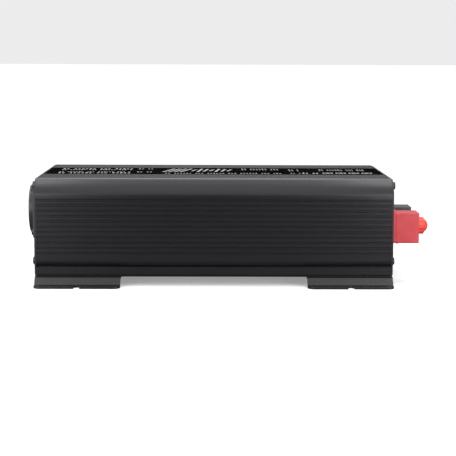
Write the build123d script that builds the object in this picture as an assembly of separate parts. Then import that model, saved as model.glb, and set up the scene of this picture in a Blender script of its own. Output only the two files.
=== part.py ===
from build123d import *
import math
import os

# A mains power inverter: ribbed aluminium housing on a base tray with two foot brackets.
# X runs along the length, mains sockets at -X and battery terminals at +X. Y is across, Z up.
# The origin is the middle of the overall box, on the surface that the feet stand on. Millimetres.

# ---- driving dimensions ----
LENGTH = 320.0              # over the two end plates
WIDTH = 200.0               # over the ribbed sides
TOP_Z = 96.0                # top face
BASE_Z = 8.5                # underside of the base tray
WALL = 2.5                  # housing wall
END_PLATE = 1.5             # end plate thickness

SHOULDER_RUN = 13.2         # sloped shoulder, across
SHOULDER_DROP = 8.55        # sloped shoulder, down
SHOULDER_TOP_R = 11.0
SHOULDER_SIDE_R = 15.6      # the shoulder rolls into the side in one wide curve

GROOVE_COUNT = 11
GROOVE_PITCH = 4.74
GROOVE_TOP_Z = 77.4
GROOVE_DEPTH = 0.9
GROOVE_MOUTH = 2.1
GROOVE_FLOOR = 1.1

LIP_CORNER_Z = 20.1         # the ribbed side curls in round this height
LIP_R = 5.9
LIP_Z = 18.4                # bottom edge of the housing
LIP_Y = 97.0
TRAY_Y = 98.0               # outer side of the base tray
TRAY_BAND_Z = 17.4          # the tray's visible band ends here, in a narrow shadow gap
TRAY_STEP_Y = 95.6          # the tray steps in under its band
TRAY_STEP_Z = 10.2
TRAY_SKIRT_Y = 94.2         # tray wall inside the housing
TRAY_WALL = 1.6
TRAY_FLOOR = 2.0
TRAY_TOP_Z = 27.5
PLATE_INSET = 0.5           # the end plates stay this far inside the casing's outline

TOP_BOSS = (88.0, 90.0)     # screw channels for the end plates, Y and Z
LOW_BOSS = (90.2, 22.3)
BOSS_R = 3.6
THREAD_R = 1.75
PLATE_HOLE_R = 2.2
TRAY_EDGE_R = 0.8
INNER_RIB_COUNT = 9         # cooling ribs under the top
INNER_RIB_PITCH = 16.0
INNER_RIB_HEIGHT = 6.0
INNER_RIB_T = 1.6
AIR_SLOT_COUNT = 17
AIR_SLOT_FROM_Y = -78.0
AIR_SLOT_PITCH = 8.0
AIR_SLOT_Z = 25.0
AIR_SLOT_LENGTH = 18.0
AIR_SLOT_WIDTH = 3.4
SCREW_HEAD_R = 3.4
SCREW_HEAD_H = 2.0

FOOT_LENGTH = 76.5
FOOT_WIDTH = 228.0          # over the flanges of one foot bracket
FOOT_SHEET = 2.0
FOOT_FLANGE = 10.0
FOOT_WEB_TOP_Y = 98.2       # outer bend, where the sloped web starts
FOOT_NOTCH_R = 2.7
FOOT_NOTCH_DEPTH = 8.0
FOOT_CORNER_R = 6.0
FOOT_SCREW_DX = 24.0
FOOT_SCREW_Y = 70.0
FOOT_HOLE_R = 2.3

LABEL_LENGTH = 315.0
LABEL_WIDTH = 77.0
LABEL_THICK = 0.25

SOCKET_YS = (-58.0, -4.0)
SOCKET_Z = 66.1
SOCKET_FLANGE = 50.0
SOCKET_FLANGE_T = 3.0
SOCKET_PROUD = 7.2          # collar front, ahead of the end plate
SOCKET_COLLAR_R = 22.0
SOCKET_WELL_R = 19.5
SOCKET_WELL_DEPTH = 17.5
SOCKET_BODY_R = 21.2
SOCKET_CUTOUT_R = 21.6
SOCKET_PIN_Y = 9.5
SOCKET_SCREW_OFFSET = 19.5

SWITCH_Y = 42.0
SWITCH_Z = 68.0
SWITCH_TILT = 10.0          # degrees each side of level
SWITCH_PIVOT = 1.6          # pivot, behind the end plate's outer face
USB_Y = 74.0
USB_Z = 77.0
LED_YS = (67.0, 81.0)
LED_Z = 58.0
LED_R = 2.5
EARTH_Y = 78.0
EARTH_Z = 31.0
EARTH_R = 2.5
EARTH_CORE_R = 2.05         # root of its thread, in the nut and in the plate
EARTH_LENGTH = 12.0         # stud end, ahead of the end plate
EARTH_NUT_END = 5.0

TERMINAL_YS = (-59.0, -3.0)
TERMINAL_Z = 51.2           # stud axis
COVER_Z = 49.9              # middle of the cover
COVER_WIDTH = 25.0
COVER_HEIGHT = 27.8
COVER_WALL = 2.0
BASE_WIDTH = 28.0
BASE_HEIGHT = 30.0
BASE_FLANGE_T = 5.4         # insulating base ahead of the end plate
COVER_FRONT = 26.6          # cover front face, ahead of the end plate
STUD_R = 4.0
STUD_END = 24.0
KNOB_R = 7.8
KNOB_DISC_T = 5.2
KNOB_TIP = 35.9             # knob tip, ahead of the end plate
KNOB_SHANK_R = 5.5

FAN_Y = 52.0
FAN_Z = 52.0
FAN_SIZE = 60.0
FAN_DEPTH = 20.0
FAN_BORE_R = 28.6
FAN_HUB_R = 13.0
FAN_BLADES = 7
FAN_HOLE_OFFSET = 25.0

BOARD_Z = 18.0
BOARD_T = 1.6
BOARD_WIDTH = 172.0
BOARD_FROM = -150.0         # board ends, from the middle of the housing
BOARD_TO = 130.0

# ---- places worked out from the driving dimensions ----
MIDDLE_X = (EARTH_LENGTH - KNOB_TIP) / 2    # middle of the housing
AC_FACE = MIDDLE_X - LENGTH / 2             # outer face of the socket end plate
DC_FACE = MIDDLE_X + LENGTH / 2             # outer face of the terminal end plate
AC_INNER = AC_FACE + END_PLATE
DC_INNER = DC_FACE - END_PLATE
HALF = WIDTH / 2
BOARD_TOP = BOARD_Z + BOARD_T
TRAY_FLOOR_Z = BASE_Z + TRAY_FLOOR
FOOT_XS = (AC_FACE + FOOT_LENGTH / 2, DC_FACE - FOOT_LENGTH / 2)
BOSS_SPOTS = [(side * y, z) for side in (-1, 1) for y, z in (TOP_BOSS, LOW_BOSS)]


# ---- helpers ----
def block(x0, x1, y0, y1, z0, z1):
    """A box between limits on each axis."""
    size = (x1 - x0, y1 - y0, z1 - z0)
    return Pos((x0 + x1) / 2, (y0 + y1) / 2, (z0 + z1) / 2) * Box(*size)


def rod_x(y, z, x0, x1, radius):
    """A round bar along X."""
    return Pos((x0 + x1) / 2, y, z) * Rot(Y=90) * Cylinder(radius, x1 - x0)


def rod_z(x, y, z0, z1, radius):
    """A round bar along Z."""
    return Pos(x, y, (z0 + z1) / 2) * Cylinder(radius, z1 - z0)


def extrude_x(face, x0, x1):
    """Extrudes a face drawn in Y and Z along X."""
    return extrude(Plane.YZ.offset(x0) * face, amount=x1 - x0)


def both_sides(points):
    """Closes a half outline in Y and Z with its mirror image about Y = 0."""
    mirrored = [(-y, z) for y, z in reversed(points)]
    return make_face(Polyline(*points, *mirrored, close=True))


def round_corners(face, y, z, radius):
    """Rounds the corners of a face at (+-y, z)."""
    corners = [v for v in face.vertices() if abs(abs(v.X) - y) < 0.01 and abs(v.Y - z) < 0.01]
    return fillet(corners, radius)


def pan_screw_x(y, z, x, out, shank, head_r=SCREW_HEAD_R, head_h=SCREW_HEAD_H, shank_r=1.65):
    """A pan head screw along X whose head stands out (-1 or +1) from the face at x."""
    head = Rot(Y=90 * out) * Cylinder(head_r, head_h, align=(Align.CENTER, Align.CENTER, Align.MIN))
    head = fillet(head.edges().sort_by(Axis.X)[-1 if out > 0 else 0], head_h * 0.45)
    slot = Pos(out * head_h, 0, 0) * (Box(1.6, 0.8, head_r) + Box(1.6, head_r, 0.8))
    body = (head - slot) + Rot(Y=-90 * out) * Cylinder(
        shank_r, shank, align=(Align.CENTER, Align.CENTER, Align.MIN))
    return Pos(x, y, z) * body


def hex_nut_x(y, z, x0, x1, across_flats, bore_r):
    """A hexagon nut along X."""
    hexagon = Pos(y, z) * RegularPolygon(across_flats / 2, 6, major_radius=False, rotation=30)
    return extrude_x(hexagon, x0, x1) - rod_x(y, z, x0 - 1, x1 + 1, bore_r)


def washer_x(y, z, x0, x1, outer_r, inner_r):
    """A flat washer along X."""
    return rod_x(y, z, x0, x1, outer_r) - rod_x(y, z, x0 - 1, x1 + 1, inner_r)


def lead(points, wire_r, bend_r):
    """A wire along straight runs joined by tangent arcs."""
    path = FilletPolyline(*points, radius=bend_r)
    section = Plane(origin=path @ 0, z_dir=path % 0) * Circle(wire_r)
    return sweep(section, path=path)


# ---- casing ----
def shoulder_points(inset):
    """The shoulder's two corners, moved inwards by inset with the slope kept parallel."""
    slope = math.atan2(SHOULDER_DROP, SHOULDER_RUN)
    top_y = HALF - SHOULDER_RUN - inset * math.tan(slope / 2)
    side_z = TOP_Z - SHOULDER_DROP - inset * math.tan((math.pi / 2 - slope) / 2)
    return [(top_y, TOP_Z - inset), (HALF - inset, side_z)]


def round_shoulder(face, inset):
    """Rounds both shoulder corners with the radii that belong to that inset."""
    (top_y, top_z), (side_y, side_z) = shoulder_points(inset)
    face = round_corners(face, top_y, top_z, SHOULDER_TOP_R - inset)
    return round_corners(face, side_y, side_z, SHOULDER_SIDE_R - inset)


def housing_wall():
    """Section of the housing's wall, whose lower lips curl inwards."""
    outer_y = HALF - WALL
    lip_y = LIP_Y - WALL
    outer = both_sides(shoulder_points(0) + [(HALF, LIP_CORNER_Z), (LIP_Y, LIP_Z)])
    outer = round_corners(round_shoulder(outer, 0), HALF, LIP_CORNER_Z, LIP_R)
    inner = both_sides(shoulder_points(WALL) + [
        (outer_y, LIP_Z + 5.6), (lip_y, LIP_Z + 2.6), (lip_y, LIP_Z - 1.0)])
    return outer - round_shoulder(inner, WALL)


def housing_shell():
    """Ribbed cover extrusion: top, shoulders, sides, screw channels and inner cooling ribs."""
    face = housing_wall()
    groove = make_face(Polyline(
        (GROOVE_MOUTH / -2, 0.1), (GROOVE_FLOOR / -2, -GROOVE_DEPTH),
        (GROOVE_FLOOR / 2, -GROOVE_DEPTH), (GROOVE_MOUTH / 2, 0.1), close=True))
    for row in range(GROOVE_COUNT):
        z = GROOVE_TOP_Z - row * GROOVE_PITCH
        for side in (-1, 1):
            face -= Pos(side * HALF, z) * Rot(Z=-90 * side) * groove
    for side in (-1, 1):
        spot = Pos(side * TOP_BOSS[0], TOP_BOSS[1])
        face += spot * Circle(BOSS_R)
        face -= spot * Circle(THREAD_R)
    half_count = INNER_RIB_COUNT // 2
    for column in range(-half_count, half_count + 1):
        rib_z = TOP_Z - WALL - INNER_RIB_HEIGHT / 2 + 0.1
        face += Pos(column * INNER_RIB_PITCH, rib_z) * Rectangle(INNER_RIB_T, INNER_RIB_HEIGHT)
    return extrude_x(face, AC_INNER, DC_INNER)


def base_tray():
    """Tray extrusion that closes the housing from below, with its own screw channels."""
    inside = TRAY_SKIRT_Y - TRAY_WALL
    face = both_sides([
        (TRAY_STEP_Y, BASE_Z),
        (TRAY_STEP_Y, TRAY_STEP_Z),
        (TRAY_Y, TRAY_STEP_Z),
        (TRAY_Y, TRAY_BAND_Z),
        (TRAY_SKIRT_Y, TRAY_BAND_Z),
        (TRAY_SKIRT_Y, TRAY_TOP_Z),
        (inside, TRAY_TOP_Z),
        (inside, TRAY_FLOOR_Z),
    ])
    face = round_corners(face, TRAY_Y, TRAY_STEP_Z, TRAY_EDGE_R)
    for side in (-1, 1):
        spot = Pos(side * LOW_BOSS[0], LOW_BOSS[1])
        face += spot * Circle(BOSS_R)
        face -= spot * Circle(THREAD_R)
    tray = extrude_x(face, AC_INNER, DC_INNER)
    for x, y in foot_screw_spots():
        tray -= rod_z(x, y, BASE_Z - 1, TRAY_FLOOR_Z + 1, FOOT_HOLE_R)
    return tray


def plate_face():
    """Outline of both end plates, just inside the casing's."""
    band_y = TRAY_Y - PLATE_INSET
    step_y = TRAY_STEP_Y - PLATE_INSET
    step_z = TRAY_STEP_Z + PLATE_INSET
    face = round_shoulder(both_sides(shoulder_points(PLATE_INSET) + [
        (HALF - PLATE_INSET, LIP_CORNER_Z + 2.0), (band_y, TRAY_BAND_Z),
        (band_y, step_z), (step_y, step_z), (step_y, BASE_Z),
    ]), PLATE_INSET)
    for y, z in BOSS_SPOTS:
        face -= Pos(y, z) * Circle(PLATE_HOLE_R)
    return face


def end_plate_ac():
    """Plate at the socket end, with its cut-outs and a row of air slots."""
    face = plate_face()
    for y in SOCKET_YS:
        face -= Pos(y, SOCKET_Z) * Circle(SOCKET_CUTOUT_R)
        for dy, dz in corner_offsets(SOCKET_SCREW_OFFSET):
            face -= Pos(y + dy, SOCKET_Z + dz) * Circle(1.9)
    face -= Pos(SWITCH_Y, SWITCH_Z) * Rectangle(22.4, 27.4)
    face -= Pos(USB_Y, USB_Z) * Rectangle(15.4, 8.4)
    for y in LED_YS:
        face -= Pos(y, LED_Z) * Circle(LED_R + 0.1)
    face -= Pos(EARTH_Y, EARTH_Z) * Circle(EARTH_R + 0.2)
    for column in range(AIR_SLOT_COUNT):
        slot_y = AIR_SLOT_FROM_Y + column * AIR_SLOT_PITCH
        face -= Pos(slot_y, AIR_SLOT_Z) * SlotOverall(AIR_SLOT_LENGTH, AIR_SLOT_WIDTH, rotation=90)
    return extrude_x(face, AC_FACE, AC_INNER)


def end_plate_dc():
    """Plate at the terminal end, with the terminal holes and the fan opening."""
    face = plate_face()
    for y in TERMINAL_YS:
        face -= Pos(y, TERMINAL_Z) * Circle(8.2)
    face -= Pos(FAN_Y, FAN_Z) * Circle(FAN_BORE_R)
    for dy, dz in corner_offsets(FAN_HOLE_OFFSET):
        face -= Pos(FAN_Y + dy, FAN_Z + dz) * Circle(2.2)
    return extrude_x(face, DC_INNER, DC_FACE)


def corner_offsets(offset):
    """The four corners of a square pattern."""
    return [(dy, dz) for dy in (-offset, offset) for dz in (-offset, offset)]


def end_plate_screws(face_x, out):
    """Four pan head screws in the corners of an end plate."""
    return [pan_screw_x(y, z, face_x, out, 12.0) for y, z in BOSS_SPOTS]


def foot_screw_spots():
    """Screw places of both foot brackets."""
    return [(x + dx, side * FOOT_SCREW_Y)
            for x in FOOT_XS for dx in (-FOOT_SCREW_DX, FOOT_SCREW_DX) for side in (-1, 1)]


def foot_bracket(x_mid):
    """Hat-shaped bracket across the width, its flanges notched for screws."""
    edge = FOOT_WIDTH / 2
    bend = edge - FOOT_FLANGE
    low = BASE_Z - FOOT_SHEET
    face = both_sides([
        (edge, 0), (edge, FOOT_SHEET), (bend, FOOT_SHEET), (FOOT_WEB_TOP_Y, BASE_Z),
    ])
    hollow = both_sides([(bend - 1.0, -0.01), (FOOT_WEB_TOP_Y - 1.0, low)])
    face -= hollow
    face = round_corners(face, bend, FOOT_SHEET, 1.2)
    face = round_corners(face, FOOT_WEB_TOP_Y, BASE_Z, 2.0)
    face = round_corners(face, FOOT_WEB_TOP_Y - 1.0, low, 0.8)
    bracket = extrude_x(face, x_mid - FOOT_LENGTH / 2, x_mid + FOOT_LENGTH / 2)
    corners = [e for e in bracket.edges().filter_by(Axis.Z) if abs(abs(e.center().Y) - edge) < 0.01]
    bracket = fillet(corners, FOOT_CORNER_R)
    inner = edge - FOOT_NOTCH_DEPTH + FOOT_NOTCH_R
    for side in (-1, 1):
        bracket -= rod_z(x_mid, side * inner, -1, FOOT_SHEET + 1, FOOT_NOTCH_R)
        y0, y1 = sorted((side * inner, side * (edge + 1)))
        bracket -= block(x_mid - FOOT_NOTCH_R, x_mid + FOOT_NOTCH_R, y0, y1, -1, FOOT_SHEET + 1)
    for x, y in foot_screw_spots():
        bracket -= rod_z(x, y, low - 1, BASE_Z + 1, FOOT_HOLE_R)
    return bracket


def foot_screws():
    """Pan head screws that hold the brackets to the tray from below."""
    head_z = BASE_Z - FOOT_SHEET
    screws = []
    for x, y in foot_screw_spots():
        head = rod_z(x, y, head_z - 2.6, head_z, 4.0)
        head = chamfer(head.edges().sort_by(Axis.Z)[0], 0.8)
        head -= Pos(x, y, head_z - 2.6) * (Box(0.9, 4.4, 2.4) + Box(4.4, 0.9, 2.4))
        screws.append(head + rod_z(x, y, head_z, TRAY_FLOOR_Z + 4.5, 1.95))
    return screws


def clinch_nuts():
    """Round nuts pressed into the tray above the foot screws."""
    return [rod_z(x, y, TRAY_FLOOR_Z, TRAY_FLOOR_Z + 3.5, 4.4)
            - rod_z(x, y, TRAY_FLOOR_Z - 1, TRAY_FLOOR_Z + 5, 2.0) for x, y in foot_screw_spots()]


def top_label():
    """Thin printed label on the top face."""
    plate = Box(LABEL_LENGTH, LABEL_WIDTH, LABEL_THICK)
    plate = fillet(plate.edges().filter_by(Axis.Z), 2.0)
    return Pos(MIDDLE_X, 0, TOP_Z + LABEL_THICK / 2) * plate


# ---- mains sockets ----
def mains_socket(y):
    """Panel socket with a square flange, a round collar, a recess and a rear body."""
    front = AC_FACE - SOCKET_PROUD
    floor_x = front + SOCKET_WELL_DEPTH
    back = floor_x + 3.0
    flange = extrude_x(Pos(y, SOCKET_Z) * RectangleRounded(SOCKET_FLANGE, SOCKET_FLANGE, 4.0),
                       AC_FACE - SOCKET_FLANGE_T, AC_FACE)
    flange = fillet(flange.faces().sort_by(Axis.X)[0].edges(), 0.8)
    collar = rod_x(y, SOCKET_Z, front, AC_FACE, SOCKET_COLLAR_R)
    collar = fillet(collar.edges().sort_by(Axis.X)[0], 1.6)
    body = flange + collar + rod_x(y, SOCKET_Z, AC_FACE, back, SOCKET_BODY_R)
    body -= rod_x(y, SOCKET_Z, front - 1, floor_x, SOCKET_WELL_R)
    for side in (-1, 1):
        key_y = y + side * (SOCKET_WELL_R - 0.6)
        body += block(front + 3.5, floor_x, key_y - 1.2, key_y + 1.2, SOCKET_Z - 2.4, SOCKET_Z + 2.4)
        body += rod_x(y + side * SOCKET_PIN_Y, SOCKET_Z, back, back + 13.0, 5.2)
        body -= rod_x(y + side * SOCKET_PIN_Y, SOCKET_Z, floor_x - 1, floor_x + 3.1, 2.7)
        body -= rod_x(y + side * SOCKET_PIN_Y, SOCKET_Z, floor_x + 2.9, back + 14.0, 3.6)
        clip_z = SOCKET_Z + side * 18.0
        body -= block(floor_x - 1, back + 1, y - 2.6, y + 2.6, clip_z - 0.7, clip_z + 0.7)
    for dy, dz in corner_offsets(SOCKET_SCREW_OFFSET):
        body -= rod_x(y + dy, SOCKET_Z + dz, AC_FACE - 5, AC_FACE + 1, 1.8)
    return body


def socket_contacts():
    """Spring sleeves for the plug pins, two in each socket."""
    floor_x = AC_FACE - SOCKET_PROUD + SOCKET_WELL_DEPTH
    sleeves = []
    for y in SOCKET_YS:
        for side in (-1, 1):
            pin_y = y + side * SOCKET_PIN_Y
            sleeve = rod_x(pin_y, SOCKET_Z, floor_x + 3.2, floor_x + 15.5, 3.4)
            sleeve -= rod_x(pin_y, SOCKET_Z, floor_x + 2, floor_x + 14.5, 2.4)
            sleeves.append(sleeve + block(floor_x + 15.5, floor_x + 22.0, pin_y - 0.4, pin_y + 0.4,
                                          SOCKET_Z - 3.0, SOCKET_Z + 3.0))
    return sleeves


def earth_clips():
    """Bent earth strips at the top and bottom of each socket recess."""
    floor_x = AC_FACE - SOCKET_PROUD + SOCKET_WELL_DEPTH
    strips = []
    for y in SOCKET_YS:
        for side in (-1, 1):
            z = SOCKET_Z + side * 18.0
            strip = block(floor_x - 12.5, floor_x + 8.0, y - 2.4, y + 2.4, z - 0.4, z + 0.4)
            bump = Pos(floor_x - 10.5, y, z - side * 0.4) * Rot(X=90) * Cylinder(1.4, 4.8)
            strips.append(strip + bump)
    return strips


def socket_screws():
    """Screws in the flange corners of both sockets."""
    face = AC_FACE - SOCKET_FLANGE_T
    return [pan_screw_x(y + dy, SOCKET_Z + dz, face, -1, 8.0, 2.9, 1.6, 1.55)
            for y in SOCKET_YS for dy, dz in corner_offsets(SOCKET_SCREW_OFFSET)]


# ---- switch, charging port, lamps and earth stud ----
def switch_bezel():
    """Frame and rear body of the rocker switch."""
    outline = Pos(SWITCH_Y, SWITCH_Z) * RectangleRounded(25.0, 31.0, 2.0)
    rim = extrude_x(outline, AC_FACE - 2.4, AC_FACE)
    rim = fillet(rim.faces().sort_by(Axis.X)[0].outer_wire().edges(), 1.0)
    body = rim + block(AC_FACE, AC_FACE + 20.0, SWITCH_Y - 11.0, SWITCH_Y + 11.0,
                       SWITCH_Z - 13.5, SWITCH_Z + 13.5)
    body -= block(AC_FACE - 5, AC_FACE + 12.0, SWITCH_Y - 9.4, SWITCH_Y + 9.4,
                  SWITCH_Z - 12.0, SWITCH_Z + 12.0)
    for side in (-1, 1):
        y = SWITCH_Y + side * 5.0
        body += block(AC_FACE + 20.0, AC_FACE + 30.0, y - 0.4, y + 0.4, SWITCH_Z - 3.0, SWITCH_Z + 3.0)
    pivot = Pos(AC_FACE + SWITCH_PIVOT, SWITCH_Y, SWITCH_Z) * Rot(X=90) * Cylinder(1.6, 22.0)
    return body - pivot


def power_rocker():
    """Rocker on its pivot, lying in its off position."""
    pad = make_face(Polyline((-11.0, -2.2), (-11.0, 3.6), (0, 2.0), (11.0, 3.6), (11.0, -2.2),
                             (2.5, -5.0), (-2.5, -5.0), close=True))
    rocker = extrude(Plane(origin=(0, -9.2, 0), x_dir=(0, 0, -1), z_dir=(0, 1, 0)) * pad, amount=18.4)
    rocker = fillet(rocker.edges().filter_by(Axis.Y).sort_by(Axis.X)[:2], 0.8)
    rocker += Rot(X=90) * Cylinder(1.55, 21.0)
    return Pos(AC_FACE + SWITCH_PIVOT, SWITCH_Y, SWITCH_Z) * Rot(Y=-SWITCH_TILT) * rocker


def usb_bezel():
    """Frame of the charging port."""
    outline = Pos(USB_Y, USB_Z) * RectangleRounded(21.0, 13.0, 1.8)
    rim = extrude_x(outline, AC_FACE - 1.8, AC_FACE)
    rim = fillet(rim.faces().sort_by(Axis.X)[0].edges(), 0.6)
    body = rim + block(AC_FACE, AC_FACE + 15.0, USB_Y - 7.6, USB_Y + 7.6, USB_Z - 4.1, USB_Z + 4.1)
    return body - block(AC_FACE - 3, AC_FACE + 16.0, USB_Y - 6.7, USB_Y + 6.7, USB_Z - 3.0, USB_Z + 3.0)


def usb_shell():
    """Metal shell of the charging port, open to the front."""
    shell = block(AC_FACE - 1.2, AC_FACE + 14.0, USB_Y - 6.6, USB_Y + 6.6, USB_Z - 2.9, USB_Z + 2.9)
    return shell - block(AC_FACE - 2, AC_FACE + 13.4, USB_Y - 6.2, USB_Y + 6.2, USB_Z - 2.5, USB_Z + 2.5)


def usb_tongue():
    """Contact tongue inside the charging port."""
    return block(AC_FACE + 3.0, AC_FACE + 13.4, USB_Y - 5.5, USB_Y + 5.5, USB_Z + 0.2, USB_Z + 2.1)


def lamp_lens(y):
    """Round signal lamp lens with a domed front and a rear collar."""
    lens = rod_x(y, LED_Z, AC_FACE - 0.4, AC_FACE + 6.0, LED_R)
    dome = Pos(AC_FACE - 0.4, y, LED_Z) * Sphere(LED_R)
    collar = rod_x(y, LED_Z, AC_INNER, AC_INNER + 1.0, LED_R + 0.6)
    return lens + dome + collar


def lamp_board():
    """Small board that carries the charging port and the lamps."""
    x0 = AC_FACE + 15.0
    return block(x0, x0 + 1.6, 60.0, 87.0, 46.0, 86.0)


def earth_stud():
    """Earth screw through the end plate, its threaded end outwards."""
    stud = rod_x(EARTH_Y, EARTH_Z, AC_FACE - EARTH_LENGTH, AC_FACE - EARTH_NUT_END, EARTH_R)
    stud = chamfer(stud.edges().sort_by(Axis.X)[0], 0.6)
    stud += rod_x(EARTH_Y, EARTH_Z, AC_FACE - EARTH_NUT_END, AC_INNER + 1.0, EARTH_CORE_R)
    return stud + hex_bar(EARTH_Y, EARTH_Z, AC_INNER + 1.0, AC_INNER + 4.5, 8.0)


def hex_bar(y, z, x0, x1, across_flats):
    """A hexagon bar along X."""
    hexagon = Pos(y, z) * RegularPolygon(across_flats / 2, 6, major_radius=False, rotation=30)
    return extrude_x(hexagon, x0, x1)


def earth_hardware():
    """Washer and nut on the earth screw."""
    bore = EARTH_CORE_R + 0.05
    washer = washer_x(EARTH_Y, EARTH_Z, AC_FACE - 1.0, AC_FACE, 5.0, bore)
    nut = hex_nut_x(EARTH_Y, EARTH_Z, AC_FACE - EARTH_NUT_END, AC_FACE - 1.0, 8.0, bore)
    return [washer, nut]


# ---- battery terminals ----
def terminal_base(y):
    """Insulating base of a terminal, seated on the end plate."""
    outline = Pos(y, TERMINAL_Z) * RectangleRounded(BASE_WIDTH, BASE_HEIGHT, 2.0)
    base = extrude_x(outline, DC_FACE, DC_FACE + BASE_FLANGE_T - 0.2)
    base = fillet(base.faces().sort_by(Axis.X)[-1].edges(), 0.7)
    step = Pos(y, COVER_Z) * RectangleRounded(COVER_WIDTH - 5.0, COVER_HEIGHT - 6.6, 1.5)
    base += extrude_x(step, DC_FACE, DC_FACE + BASE_FLANGE_T + 2.0)
    base += rod_x(y, TERMINAL_Z, DC_FACE - 6.0, DC_FACE, 8.0)
    return base - rod_x(y, TERMINAL_Z, DC_FACE - 7, DC_FACE + 10, STUD_R)


def terminal_studs():
    """Threaded studs that carry the battery cables, with their inner heads."""
    studs = []
    for y in TERMINAL_YS:
        stud = rod_x(y, TERMINAL_Z, DC_FACE - 16.0, DC_FACE + STUD_END, STUD_R)
        stud = chamfer(stud.edges().sort_by(Axis.X)[-1], 0.8)
        studs.append(stud + hex_bar(y, TERMINAL_Z, DC_FACE - 20.0, DC_FACE - 14.0, 13.0))
    return studs


def terminal_nuts():
    """A washer and a nut on each stud, inside the cover."""
    seat = DC_FACE + BASE_FLANGE_T + 2.0
    bore = STUD_R + 0.05
    parts = []
    for y in TERMINAL_YS:
        parts.append(washer_x(y, TERMINAL_Z, seat, seat + 1.4, 7.8, bore))
        parts.append(hex_nut_x(y, TERMINAL_Z, seat + 1.4, seat + 7.4, 13.0, bore))
    return parts


def terminal_cover(y):
    """Hollow cover over a terminal, open at the back and below for the cable."""
    back = DC_FACE + BASE_FLANGE_T
    front = DC_FACE + COVER_FRONT
    half_w = COVER_WIDTH / 2
    half_h = COVER_HEIGHT / 2
    shell = block(back, front, y - half_w, y + half_w, COVER_Z - half_h, COVER_Z + half_h)
    shell = fillet(shell.edges().filter_by(Axis.X), 0.9)
    shell = fillet(shell.faces().sort_by(Axis.X)[-1].edges(), 0.5)
    bead = Pos(y, COVER_Z) * RectangleRounded(COVER_WIDTH + 0.9, COVER_HEIGHT + 0.9, 1.8)
    shell += extrude_x(bead, back + 0.2, back + 2.4)
    shell -= block(back - 1, front - COVER_WALL, y - half_w + COVER_WALL, y + half_w - COVER_WALL,
                   COVER_Z - half_h + COVER_WALL, COVER_Z + half_h - COVER_WALL)
    shell -= block(back - 1, front - COVER_WALL - 2.0, y - 9.5, y + 9.5,
                   COVER_Z - half_h - 2, COVER_Z - half_h + 4)
    return shell - rod_x(y, TERMINAL_Z, front - 5, front + 1, KNOB_SHANK_R + 0.06)


def thumb_knob(y):
    """Round knob with a domed nose, a grooved rim and a shank that screws onto the stud."""
    front = COVER_FRONT + 0.1
    tip = KNOB_TIP - front
    nose_r = 6.4
    flat_r = 0.5
    rim = Circle(KNOB_R)
    for turn in range(12):
        rim -= Rot(Z=turn * 30) * Pos(KNOB_R + 0.6, 0) * Circle(1.0)
    profile = make_face(
        Polyline((0, 0), (0, nose_r), (KNOB_DISC_T, nose_r))
        + ThreePointArc((KNOB_DISC_T, nose_r), (tip - 1.4, nose_r * 0.66), (tip, flat_r))
        + Polyline((tip, flat_r), (tip, 0), (0, 0)))
    knob = extrude_x(rim, 0, KNOB_DISC_T) + revolve(profile, Axis.X, 360)
    knob += rod_x(0, 0, -COVER_WALL - 0.6, 0, KNOB_SHANK_R)
    knob += rod_x(0, 0, -COVER_WALL - 1.8, -COVER_WALL - 0.4, KNOB_SHANK_R + 1.0)
    knob -= rod_x(0, 0, -COVER_WALL - 3, STUD_END + 0.8 - front, STUD_R + 0.05)
    return Pos(DC_FACE + front, y, TERMINAL_Z) * knob


# ---- fan ----
def fan_frame():
    """Square fan frame with a round duct, a hub seat and three struts."""
    inner = DC_INNER - FAN_DEPTH
    outline = Pos(FAN_Y, FAN_Z) * (RectangleRounded(FAN_SIZE, FAN_SIZE, 5.0) - Circle(FAN_BORE_R))
    frame = extrude_x(outline, inner, DC_INNER)
    hub = rod_x(FAN_Y, FAN_Z, inner, inner + 2.4, FAN_HUB_R)
    reach = FAN_BORE_R - FAN_HUB_R + 2.0
    strut = Pos(inner + 1.2, 0, (FAN_HUB_R + FAN_BORE_R) / 2) * Box(2.4, 4.0, reach)
    for turn in range(3):
        hub += Pos(0, FAN_Y, FAN_Z) * Rot(X=turn * 120 + 30) * strut
    hub += rod_x(FAN_Y, FAN_Z, inner, inner + 8.0, 3.4)
    frame += hub
    frame -= rod_x(FAN_Y, FAN_Z, inner + 1.0, DC_INNER, 1.55)
    for dy, dz in corner_offsets(FAN_HOLE_OFFSET):
        frame -= rod_x(FAN_Y + dy, FAN_Z + dz, inner - 1, DC_INNER + 1, 2.1)
    return frame


def fan_rotor():
    """Hub cup with its ring of tilted blades."""
    start = DC_INNER - FAN_DEPTH + 4.0
    end = DC_INNER - 2.0
    mid = (start + end) / 2
    blade_r = FAN_BORE_R - 0.6
    span = blade_r - FAN_HUB_R + 6.0
    blade = Pos(mid, 0, (FAN_HUB_R + blade_r) / 2) * Rot(Z=38) * Box(17.0, 1.4, span)
    blades = blade
    for turn in range(1, FAN_BLADES):
        blades += Rot(X=turn * 360 / FAN_BLADES) * blade
    ring = rod_x(0, 0, start + 1, end - 0.5, blade_r) - rod_x(0, 0, start, end, FAN_HUB_R - 0.6)
    hub = rod_x(0, 0, start, end, FAN_HUB_R)
    hub = fillet(hub.edges().sort_by(Axis.X)[-1], 1.5)
    rotor = (blades & ring) + hub
    rotor -= rod_x(0, 0, start - 1, end - 1.6, FAN_HUB_R - 1.4)
    rotor += rod_x(0, 0, end - 4.0, end - 1.0, 3.0)
    rotor -= rod_x(0, 0, start - 1, end - 1.4, 1.5)
    return Pos(0, FAN_Y, FAN_Z) * rotor


def fan_shaft():
    """Steel shaft pressed into the rotor and running in the frame."""
    return rod_x(FAN_Y, FAN_Z, DC_INNER - FAN_DEPTH + 1.4, DC_INNER - 3.4, 1.5)


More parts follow.
